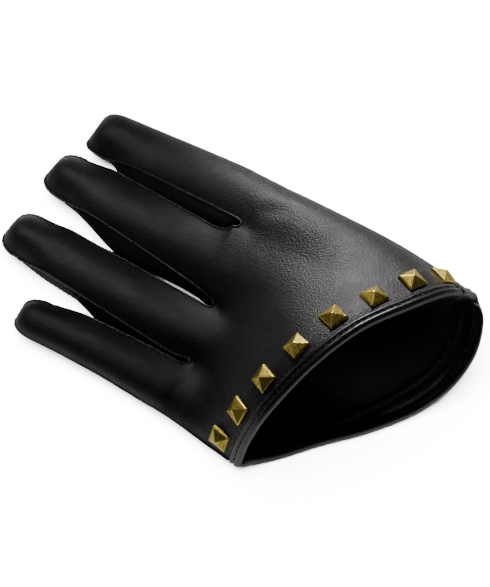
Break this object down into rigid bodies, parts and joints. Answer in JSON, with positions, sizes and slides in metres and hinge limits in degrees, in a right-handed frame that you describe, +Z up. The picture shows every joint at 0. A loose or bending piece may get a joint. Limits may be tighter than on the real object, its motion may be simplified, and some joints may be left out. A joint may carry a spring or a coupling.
{
  "type": "leather glove",
  "caption": "Short left-hand leather glove with four finger stalls, a tucked thumb stall and a bound cuff with pyramid studs.",
  "frame": {"origin": "bottom centre of the bounding box, on the surface that the glove lies on", "axes": "+Y towards the fingertips, +X towards the index finger and thumb side, +Z up out of the back of the hand"},
  "size_m": [0.0972, 0.1717, 0.046],
  "materials": {
    "leather": "smooth satin nappa, black",
    "gusset_leather": "smooth nappa, less sheen",
    "binding": "rolled and stitched leather edge",
    "lining": "matte knitted lining",
    "brass": "antique, worn bright on the ridges"
  },
  "bodies": {
    "hand": {"trank_hand": "leather", "lining_hand": "lining", "cuff_facing": "binding", "cuff_binding": "binding", "cuff_binding_joint": "binding", "crotch_gusset_little_ring": "gusset_leather", "crotch_gusset_ring_middle": "gusset_leather", "crotch_gusset_middle_index": "gusset_leather", "stud_1": "brass", "stud_2": "brass", "stud_3": "brass", "stud_4": "brass", "stud_5": "brass", "stud_6": "brass", "stud_7": "brass", "stud_8": "brass"},
    "little": {"little_back": "leather", "little_palm": "leather", "little_gusset_index_side": "gusset_leather", "little_lining": "lining"},
    "ring": {"ring_back": "leather", "ring_palm": "leather", "ring_gusset_little_side": "gusset_leather", "ring_gusset_index_side": "gusset_leather", "ring_lining": "lining"},
    "middle": {"middle_back": "leather", "middle_palm": "leather", "middle_gusset_little_side": "gusset_leather", "middle_gusset_index_side": "gusset_leather", "middle_lining": "lining"},
    "index": {"index_wrap": "leather", "index_gusset_little_side": "gusset_leather", "index_lining": "lining"},
    "thumb": {"thumb_leather": "leather", "thumb_lining": "lining"}
  },
  "joints": [
    {"name": "little_bend", "type": "hinge", "parent": "hand", "child": "little", "pos_m": [-0.03558, 0.00402, 0.00536], "axis": [-0.9942, -0.0759, -0.0767], "range_deg": [-20, 60]},
    {"name": "ring_bend", "type": "hinge", "parent": "hand", "child": "ring", "pos_m": [-0.01434, 0.00639, 0.00689], "axis": [-0.9902, -0.0503, -0.1305], "range_deg": [-20, 60]},
    {"name": "middle_bend", "type": "hinge", "parent": "hand", "child": "middle", "pos_m": [0.01057, 0.01188, 0.01314], "axis": [-0.9924, 0.0277, -0.1201], "range_deg": [-20, 60]},
    {"name": "index_bend", "type": "hinge", "parent": "hand", "child": "index", "pos_m": [0.03637, 0.01665, 0.01708], "axis": [-0.9931, -0.0043, -0.1173], "range_deg": [-20, 60]},
    {"name": "thumb_swing", "type": "hinge", "parent": "hand", "child": "thumb", "pos_m": [0.024, -0.042, 0.006], "axis": [0, 0, -1], "range_deg": [0, 70]}
  ]
}
